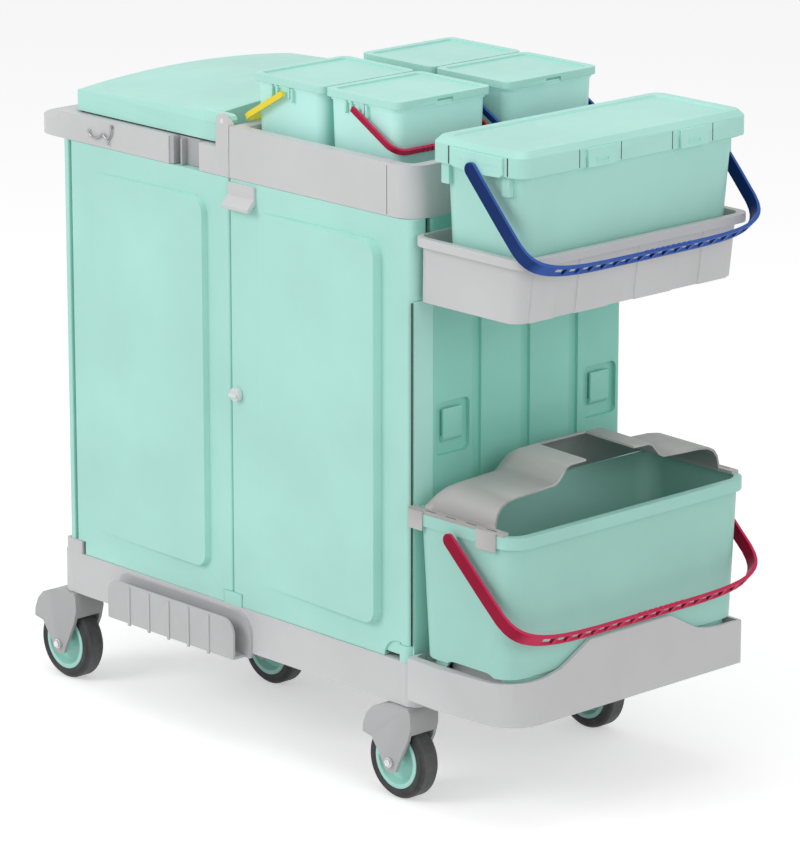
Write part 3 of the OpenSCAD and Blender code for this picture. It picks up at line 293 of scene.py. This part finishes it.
# Rounded edges and smooth shading on a mesh, by modifiers alone
def soften(obj, width, steps, flatten=False):
    weld = obj.modifiers.new("weld", "WELD")
    weld.merge_threshold = WELD_GAP
    if flatten:
        flat = obj.modifiers.new("flat", "DECIMATE")
        flat.decimate_type = "DISSOLVE"
        flat.angle_limit = math.radians(FLAT_ANGLE)
    if width > 0.0:
        bevel = obj.modifiers.new("edges", "BEVEL")
        bevel.width = width
        bevel.segments = steps
        bevel.limit_method = "ANGLE"
        bevel.angle_limit = math.radians(BEVEL_ANGLE)
        bevel.use_clamp_overlap = True
        bevel.miter_outer = "MITER_ARC"
    smooth = obj.modifiers.new("smooth", "NODES")
    smooth.node_group = smooth_group()
    even = obj.modifiers.new("even", "WEIGHTED_NORMAL")
    even.keep_sharp = True
    even.weight = NORMAL_WEIGHT


# Node group that shades smooth except across sharp edges, made once
def smooth_group():
    group = bpy.data.node_groups.get("shade_smooth")
    if group:
        return group
    group = bpy.data.node_groups.new("shade_smooth", "GeometryNodeTree")
    group.interface.new_socket("Geometry", in_out="INPUT", socket_type="NodeSocketGeometry")
    group.interface.new_socket("Geometry", in_out="OUTPUT", socket_type="NodeSocketGeometry")
    n_in = group.nodes.new("NodeGroupInput")
    n_out = group.nodes.new("NodeGroupOutput")
    faces = group.nodes.new("GeometryNodeSetShadeSmooth")
    faces.domain = "FACE"
    edges = group.nodes.new("GeometryNodeSetShadeSmooth")
    edges.domain = "EDGE"
    angle = group.nodes.new("GeometryNodeInputMeshEdgeAngle")
    less = group.nodes.new("FunctionNodeCompare")
    less.data_type = "FLOAT"
    less.operation = "LESS_THAN"
    less.inputs[1].default_value = math.radians(SMOOTH_ANGLE)
    group.links.new(n_in.outputs[0], faces.inputs["Geometry"])
    group.links.new(faces.outputs[0], edges.inputs["Geometry"])
    group.links.new(angle.outputs["Unsigned Angle"], less.inputs[0])
    group.links.new(less.outputs[0], edges.inputs["Shade Smooth"])
    group.links.new(edges.outputs[0], n_out.inputs[0])
    return group


MATERIALS = {
    "mint": plastic("mint", (0.425, 0.770, 0.685), 0.46),
    "grey": plastic("grey", (0.600, 0.600, 0.605), 0.45, grain=600.0, depth=0.10),
    # Hood grey: strongly lightened edges, partly scuffs and partly painted highlight
    "hood_grey": plastic("hood_grey", (0.385, 0.380, 0.372), 0.52, tone=0.03, grain=500.0, depth=0.04,
                         edge=1.6, scuff_and_highlight=0.6, fleck=0.05),
    "clip_grey": plastic("clip_grey", (0.42, 0.42, 0.43), 0.45),
    "frame_dark": plastic("frame_dark", (0.030, 0.034, 0.034), 0.55, edge=2.0),
    "steel": metal("steel", (0.72, 0.72, 0.74), 0.22),
    "wire": metal("wire", (0.40, 0.40, 0.41), 0.35),
    "tyre": rubber("tyre", (0.022, 0.022, 0.023), (0.085, 0.085, 0.088)),
    "yellow": plastic("yellow", (0.86, 0.68, 0.015), 0.32, edge=1.1),
    # The red and blue bails take a darker side colour on faces across the cart: painted shade on the arms
    "red": plastic("red", (0.60, 0.035, 0.105), 0.42, edge=1.4, scuff_and_highlight=0.5, side=(0.30, 0.003, 0.030),
                   shine=0.10),
    "green": plastic("green", (0.035, 0.30, 0.085), 0.30),
    "blue": plastic("blue", (0.045, 0.115, 0.420), 0.42, edge=1.5, scuff_and_highlight=0.5, side=(0.003, 0.022, 0.120),
                    shine=0.10),
    "knob": plastic("knob", (0.70, 0.73, 0.73), 0.40),
}

# Nodes whose plastic is a little darker or paler than its slot: the fork and pocket greys are their own
# tones, the darker lower bucket and end panel are painted shade, and the paler small buckets are painted
# light
TONES_AND_PAINTED_LIGHT = {
    "caster_fork": plastic("fork_grey", (0.440, 0.440, 0.445), 0.42, grain=600.0, depth=0.10),
    "mop_pocket": plastic("pocket_grey", (0.520, 0.520, 0.525), 0.45, grain=600.0, depth=0.10),
    "lower_bucket": plastic("lower_mint_painted_shade", (0.365, 0.680, 0.600), 0.46),
    "small_bucket": plastic("small_mint_painted_light", (0.545, 0.930, 0.855), 0.46),
    "end_panel": plastic("panel_mint_painted_shade", (0.285, 0.690, 0.580), 0.46),
}

# Width of the rounded edges of each kind of node, in millimetres
EDGE = {
    "base_deck": 3.0, "bucket_platform": 3.0, "mop_pocket": 1.5, "door_feet": 2.0, "left_hinge_foot": 2.0,
    "left_end_panel": 2.0, "back_panel": 2.0, "divider_panel": 1.0, "end_panel": 1.0, "top_rail": 5.0,
    "bag_frame": 1.0, "rail_clip": 0.6, "top_tray": 4.0, "bucket_holder": 2.0, "left_door": 2.0,
    "right_door": 2.0, "door_pull": 1.2, "lock_knob": 1.0, "dome_lid": 9.0, "upper_bucket": 1.5,
    "upper_lid": 3.0, "upper_bail": 1.0, "lower_bucket": 1.5, "splash_hood": 0.8, "lower_bail": 1.0,
    "wire_hook": 0.0, "hinge_pins": 0.6, "caster_stems": 0.3, "small_bucket": 1.2, "small_lid": 1.5,
    "small_bail": 1.0, "caster_fork": 4.0, "caster_axle": 1.0, "wheel_hub": 1.0, "tyre": 1.0,
}

# Kinds of node whose flat faces are joined before their edges are rounded
FLATTENED = ("caster_fork", "dome_lid")

for name, slot in slots.items():
    kind = name.rstrip("_0123456789")
    mesh = nodes[name].data
    mesh.materials.clear()
    mesh.materials.append(TONES_AND_PAINTED_LIGHT.get(kind, MATERIALS[slot]))
    soften(nodes[name], EDGE[kind] * MM, NODE_STEPS, flatten=kind in FLATTENED)


# Lowest and highest corners of a node at rest, in millimetres
def corners(node):
    return [[round(v / MM, 2) for v in corner] for corner in boxes[node]]


# Middle of a node's box across the floor, in millimetres
def middle(node):
    low, high = corners(node)
    return (low[0] + high[0]) / 2, (low[1] + high[1]) / 2


# Place of a joint, in millimetres
def pivot(joint):
    return [round(v / MM, 2) for v in joints[joint]["pos_m"]]


# Points on an ellipse at the given angles, in degrees
def arc(cx, cy, rx, ry, angles):
    turns = [math.radians(a) for a in angles]
    return [(cx + rx * math.cos(t), cy + ry * math.sin(t)) for t in turns]


# Rounded rectangle outline
def rounded(x0, x1, y0, y1, r, steps=4):
    pts = []
    for cx, cy, start in ((x1 - r, y1 - r, 0), (x0 + r, y1 - r, 90),
                          (x0 + r, y0 + r, 180), (x1 - r, y0 + r, 270)):
        pts += arc(cx, cy, r, r, [start + 90.0 * k / steps for k in range(steps + 1)])
    return pts


# Prism: an outline across the named axis, between two values along it
def prism(axis, outline, lo, hi):
    order = {"x": lambda a, b, c: (c, a, b),
             "y": lambda a, b, c: (a, c, b),
             "z": lambda a, b, c: (a, b, c)}[axis]
    return [order(a, b, lo) for a, b in outline], [order(a, b, hi) for a, b in outline]


# Stretch between two distances from a middle plane, on one side of it
def band(sign, inner, outer):
    return sorted((sign * inner, sign * outer))


# One object from several prisms, which rides on a body and takes a slot's finish
def piece(name, prisms, body, slot, edge, place=Matrix()):
    bm = bmesh.new()
    for low, high in prisms:
        rows = [[bm.verts.new((place @ Vector(v)) * MM) for v in ring] for ring in (low, high)]
        n = len(low)
        bm.faces.new(rows[0])
        bm.faces.new(rows[1])
        for k in range(n):
            bm.faces.new((rows[0][k], rows[0][(k + 1) % n], rows[1][(k + 1) % n], rows[1][k]))
    bmesh.ops.recalc_face_normals(bm, faces=bm.faces)
    mesh = bpy.data.meshes.new(name)
    bm.to_mesh(mesh)
    bm.free()
    obj = bpy.data.objects.new(name, mesh)
    bpy.context.scene.collection.objects.link(obj)
    mesh.materials.append(MATERIALS[slot])
    soften(obj, edge * MM, TRIM_STEPS)
    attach(obj, body)


# Frame of a bail at rest: along the arm, across the cart, and square to both
def bail_place(place, drop, turn=0.0):
    spin = Matrix.Rotation(math.radians(turn), 4, "Z") @ Matrix.Rotation(math.radians(drop), 4, "Y")
    return Matrix.Translation(place) @ spin


# Sides of the cart, the near one with the doors, and the sign of y there
SIDES = (("near", -1.0), ("far", 1.0))
SMALL_COUNT, CASTER_COUNT = 4, 5

# Places on the solids that trim is set out from, in millimetres
TRAY_LOW, TRAY_HIGH = corners("top_tray")
FRONT_Y = TRAY_LOW[1]
DECK_Z = corners("base_deck")[1][2]
DOOR_END_X = corners("right_door")[1][0]
DOOR_SKIN = 4.0
LID_LOW, LID_HIGH = corners("upper_lid")
LID_TAB = 6.0
LID_END_X = LID_HIGH[0] - LID_TAB
LOWER_TOP = corners("lower_bucket")[1][2]

# Upper lid: middles of its snap tabs, flaps before and behind the bail pivot, dark strips of painted shade
# for slits beside both
TAB_MIDS = (-80.0, 118.0)
FLAP_BEFORE, FLAP_BEHIND = 48.0, 62.0
SLIT_IN, SLIT_OUT = 0.6, 0.25
SLIT_LOW, SLIT_HIGH = LID_LOW[2] + 1.0, LID_LOW[2] + 29.0

# Arms of the bails: reach from pivot to grip, and how far they hang below level, in degrees or as a fall
UPPER_REACH, UPPER_DROP = 198.0, 47.0
LOWER_REACH, LOWER_DROP = 210.0, 42.0
SMALL_REACH, SMALL_FALL = 106.0, 52.5
SMALL_DROP = math.degrees(math.asin(SMALL_FALL / SMALL_REACH))


# Flaps with a notch round the bail pivot on the two ends of the upper lid, and beads on them
def lid_flaps():
    x, _, z = pivot("upper_bail_swing")
    x0, x1, foot, top = x - FLAP_BEFORE, x + FLAP_BEHIND, z - 6.0, z + 26.0
    flap = [(x0, top), (x0, foot + 9), (x0 + 4, foot + 4), (x - 10, foot), (x - 8, z + 5), (x - 3, z + 9),
            (x + 3, z + 9), (x + 8, z + 5), (x + 10, foot), (x1 - 5, foot + 2), (x1, foot + 7), (x1, top)]
    bead_length, bead_low, bead_high, bead_round = 15.0, z + 11.0, z + 15.0, 1.5
    beads = [rounded(x + a, x + a + bead_length, bead_low, bead_high, bead_round) for a in (-39, 19, 39)]
    skirt, face, proud, sunk = LID_HIGH[1], LID_HIGH[1] + 4.3, 0.5, 0.4
    for tag, sign in SIDES:
        wall = prism("y", flap, *band(sign, skirt - sunk, face))
        piece("upper_lid_flap_" + tag, [wall], "upper_lid", "mint", edge=1.0)
        bars = [prism("y", bead, *band(sign, face - sunk, face + proud)) for bead in beads]
        piece("upper_lid_beads_" + tag, bars, "upper_lid", "mint", edge=0.3)


# Frames on the two snap tabs of the upper lid
def lid_snap_frames():
    half, bar, lap, bar_round = 13.0, 2.0, 0.5, 0.9
    foot, top = LID_LOW[2] + 5.5, LID_LOW[2] + 14.0
    sunk, proud = 1.6, 0.6
    bars = []
    for mid in TAB_MIDS:
        for lo, hi, z0, z1 in ((-half, half, top - bar, top), (-half, half, foot, foot + bar),
                               (-half, bar - half, foot + bar - lap, top - bar + lap),
                               (half - bar, half, foot + bar - lap, top - bar + lap)):
            shape = rounded(mid + lo, mid + hi, z0, z1, bar_round, steps=2)
            bars.append(prism("x", shape, LID_HIGH[0] - sunk, LID_HIGH[0] + proud))
    piece("upper_lid_snap_frames", bars, "upper_lid", "mint", edge=0.4)


# Dark strips beside the snap tabs and the flaps of the upper lid: painted shade standing for slits
def lid_slit_shadows():
    tab_half, tab_slit, tab_round = 44.0, 0.8, 0.7
    slits = []
    for mid in TAB_MIDS:
        for y in (mid - tab_half, mid + tab_half):
            shape = rounded(y - tab_slit, y + tab_slit, SLIT_LOW, SLIT_HIGH, tab_round, steps=2)
            slits.append(prism("x", shape, LID_END_X - SLIT_IN, LID_END_X + SLIT_OUT))
    flap_slit, flap_round = 1.4, 1.2
    x_pivot = pivot("upper_bail_swing")[0]
    for x in (x_pivot - FLAP_BEFORE - 7.0, x_pivot + FLAP_BEHIND + 8.0):
        shape = rounded(x - flap_slit, x + flap_slit, SLIT_LOW, SLIT_HIGH, flap_round, steps=2)
        for _, sign in SIDES:
            slits.append(prism("y", shape, *band(sign, LID_HIGH[1] - SLIT_IN, LID_HIGH[1] + SLIT_OUT)))
    piece("upper_lid_slit_shadows", slits, "upper_lid", "frame_dark", edge=0.2)


# Scalloped finger ridge on the upper edge of a large bail's grip
def bail_ridge(body, drop, reach):
    count, first, pitch = 9, -22.0, 11.5
    half, foot, rise = 5.2, 9.8, 3.2
    inside, outside = reach - 2.9, reach + 0.3
    half_turn = range(0, 181, 20)
    bumps = []
    for k in range(count):
        curve = arc(first + pitch * k, foot, half, rise, half_turn)
        bumps.append(prism("x", curve, inside, outside))
    place = bail_place(pivot(body + "_swing"), drop)
    piece(body + "_ridge", bumps, body, slots[body], edge=0.8, place=place)


# Collars along the grip of a small bail, which hangs toward the push end on odd buckets
def bail_collars(n):
    body = "small_bail_%d" % n
    half_x, half_z, corner, width = 3.3, 5.3, 2.0, 4.4
    ring = rounded(SMALL_REACH - half_x, SMALL_REACH + half_x, -half_z, half_z, corner, steps=3)
    first, last, pitch = -49, 49, 9
    rings = [prism("y", ring, y, y + width) for y in range(first, last + 1, pitch)]
    place = bail_place(pivot(body + "_swing"), SMALL_DROP, 180.0 if n % 2 else 0.0)
    piece(body + "_collars", rings, body, slots[body], edge=0.8, place=place)


# Guide ribs beside the bail pivots of a small bucket, each a place along the cart and a length
def pivot_ribs(n):
    body = "small_bucket_%d" % n
    x, y = middle(body)
    top = corners(body)[1][2] - 4.0
    inner, outer, width, tip_x, tip_z = 94.4, 100.3, 4.5, 2.0, 3.0
    ribs = []
    for _, sign in SIDES:
        lo, hi = band(sign, inner, outer)
        for dx, deep in ((-36.0, 17.0), (-24.0, 12.0), (4.0, 15.0), (10.5, 20.0)):
            x0, x1, foot = x + dx, x + dx + width, top - deep
            shape = [(x0, top), (x0, foot), (x0 + tip_x, foot - tip_z), (x1, foot), (x1, top)]
            ribs.append(prism("y", shape, y + lo, y + hi))
    piece(body + "_ribs", ribs, body, "mint", edge=0.6)


# Rows of dark pills along the two rims of a small lid that run across the cart: painted shade standing for
# vents
def lid_vent_shadows(n):
    body = "small_lid_%d" % n
    x, y = middle(body)
    top = corners(body)[1][2]
    edge, pitch, each_way = 78.5, 9.4, 9
    half_x, half_y, corner = 0.9, 2.4, 0.8
    deep, shallow = 0.8, 0.05
    vents = []
    for row in (x - edge, x + edge):
        for k in range(-each_way, each_way + 1):
            mid = y + pitch * k
            shape = rounded(row - half_x, row + half_x, mid - half_y, mid + half_y, corner, steps=2)
            vents.append(prism("z", shape, top - deep, top - shallow))
    piece(body + "_vent_shadows", vents, body, "frame_dark", edge=0.0)


# Six-sided nuts on the axle ends of a caster
def axle_nuts(n):
    x, y, z = pivot("wheel_%d_roll" % n)
    radius, inner, outer = 6.5, 33.5, 37.5
    sixths = range(0, 360, 60)
    hexagon = arc(x, z, radius, radius, sixths)
    nuts = []
    for _, sign in SIDES:
        lo, hi = band(sign, inner, outer)
        nuts.append(prism("y", hexagon, y + lo, y + hi))
    piece("caster_%d_nuts" % n, nuts, "caster_%d" % n, "steel", edge=0.6)


# Joint line up the front and over the edge of the tray, where its end cap starts
def tray_seam():
    start, width = 268.4, 1.0
    foot = TRAY_LOW[2] + 2.0 - TRAY_HIGH[2]
    outside = [(-0.2, foot), (-0.2, -4.5), (1.0, -1.2), (4.3, 0.0), (19.0, 0.0)]
    inside = [(19.0, -0.8), (4.6, -0.8), (1.7, -1.9), (0.6, -4.8), (0.6, foot)]
    path = [(FRONT_Y + dy, TRAY_HIGH[2] + dz) for dy, dz in outside + inside]
    piece("tray_seam", [prism("x", path, start, start + width)], "frame", "frame_dark", edge=0.0)


# Dark strip between the right door and its post: painted shade for the shadow gap there
def door_shadow_strip():
    foot, top = 258.0, 802.0
    strip = [(0.3, 0.2), (1.2, 0.2), (1.25, 3.0), (1.2, 3.4), (0.3, 3.4)]
    shape = [(DOOR_END_X + dx, FRONT_Y + dy) for dx, dy in strip]
    piece("door_shadow_strip", [prism("z", shape, foot, top)], "frame", "frame_dark", edge=0.2)


# Web behind the skin that closes the rounded notch in the lower corner of the right door
def notch_web():
    mid_x, reach, past, foot = 292.5, 33.0, 1.5, 7.5
    sunk, thick = 0.3, 2.2
    sweep = range(166, 89, -7)
    curve = arc(mid_x, DECK_Z, reach, reach, sweep)
    straight = [(mid_x + past, DECK_Z + reach), (mid_x + past, DECK_Z + foot)]
    back = FRONT_Y + DOOR_SKIN
    web = prism("y", curve + straight, back - sunk, back + thick)
    piece("door_notch_web", [web], "right_door", "mint", edge=0.5)


# Dark strips along the clip strips of the splash hood: painted shade standing for slot openings
def hood_slot_shadows():
    away, first, pitch, count = 254.0, 364.0, 44.0, 4
    length, half, corner = 22.0, 0.9, 0.8
    low, high = LOWER_TOP + 4.6, LOWER_TOP + 5.2
    cuts = []
    for y in (-away, away):
        for k in range(count):
            x = first + pitch * k
            cuts.append(prism("z", rounded(x, x + length, y - half, y + half, corner, steps=2), low, high))
    piece("hood_slot_shadows", cuts, "splash_hood", "frame_dark", edge=0.0)


# Raised guide on the platform that shows through the arch in the foot of the lower bucket
def platform_guide():
    x0, x1, top = 402.0, 522.0, DECK_Z + 24.5
    plate = [(x0, DECK_Z), (x0, top - 8), (x0 + 3, top - 3), (x0 + 10, top),
             (x1 - 10, top), (x1 - 3, top - 3), (x1, top - 8), (x1, DECK_Z)]
    face, back, rib_end, lap = -234.0, -230.0, -222.0, 0.5
    rib_low, rib_high, rib_width, rib_round = DECK_Z + 0.5, top - 2.0, 4.0, 1.5
    walls = [prism("y", plate, face, back)]
    for x in (x0 + 22.0, x0 + 58.0, x0 + 94.0):
        rib = rounded(x, x + rib_width, rib_low, rib_high, rib_round)
        walls.append(prism("y", rib, back - lap, rib_end))
    piece("platform_guide", walls, "frame", "grey", edge=1.0)


lid_flaps()
lid_snap_frames()
lid_slit_shadows()
bail_ridge("upper_bail", UPPER_DROP, UPPER_REACH)
bail_ridge("lower_bail", LOWER_DROP, LOWER_REACH)
for number in range(1, SMALL_COUNT + 1):
    bail_collars(number)
    pivot_ribs(number)
    lid_vent_shadows(number)
for number in range(1, CASTER_COUNT + 1):
    axle_nuts(number)
tray_seam()
door_shadow_strip()
notch_web()
hood_slot_shadows()
platform_guide()

make_camera()
make_world()
make_floor()
make_lamp("key", place=(-1.6, -4.2, 3.0), aim=(0.0, 0.0, 0.5), size=2.6, power=80.0)
make_lamp("top", place=(0.4, -0.3, 4.6), aim=(0.0, 0.0, 0.6), size=3.0, power=34.0)
make_lamp("side", place=(4.4, -0.8, 2.2), aim=(0.2, 0.0, 0.5), size=2.4, power=38.0)
bpy.context.scene.view_settings.view_transform = "Standard"
